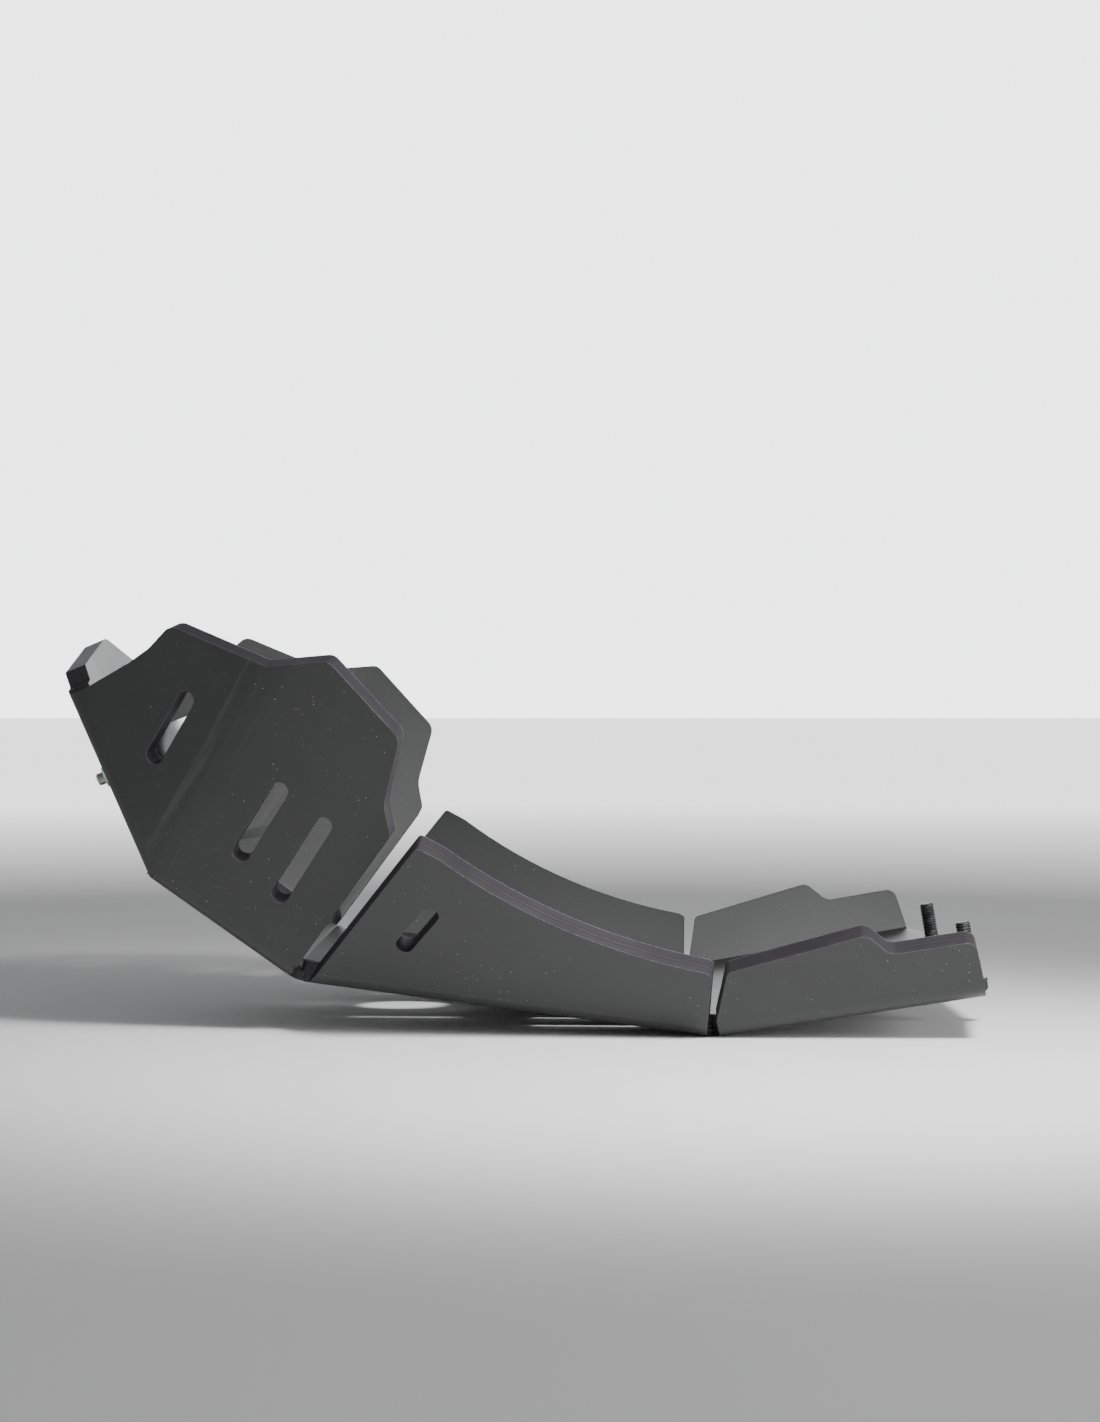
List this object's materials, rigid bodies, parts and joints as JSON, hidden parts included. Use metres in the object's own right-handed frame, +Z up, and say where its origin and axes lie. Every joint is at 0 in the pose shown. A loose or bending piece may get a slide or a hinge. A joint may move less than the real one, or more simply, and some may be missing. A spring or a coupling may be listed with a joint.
{
  "type": "motorcycle skid plate",
  "caption": "Folded black polyethylene skid plate: a riser, ramp, belly and tail with leaning side wings, vent slots, and clamps and bolts for the frame.",
  "frame": {"origin": "middle of the flat underside of the belly", "axes": "+X to the rear of the motorcycle, +Y to its right side, +Z up, as it is carried on the motorcycle"},
  "size_m": [0.349, 0.2802, 0.149],
  "materials": {
    "plate": "satin polyethylene sheet, its cut edges finely ribbed by the cutter",
    "clamp_steel": "bright zinc-plated strip",
    "liner_rubber": "matt rubber",
    "zinc": "bright zinc plate with a pale green cast",
    "black_steel": "black oxide"
  },
  "bodies": {
    "root": {"skid_plate": "plate", "front_clamp_left": "clamp_steel", "clamp_liner_left": "liner_rubber", "front_bolt_left": "zinc", "front_washer_left": "zinc", "front_nut_left": "zinc", "rear_bolt_left": "black_steel", "rear_washer_left": "black_steel", "front_clamp_right": "clamp_steel", "clamp_liner_right": "liner_rubber", "front_bolt_right": "zinc", "front_washer_right": "zinc", "front_nut_right": "zinc", "rear_bolt_right": "black_steel", "rear_washer_right": "black_steel"}
  },
  "joints": []
}
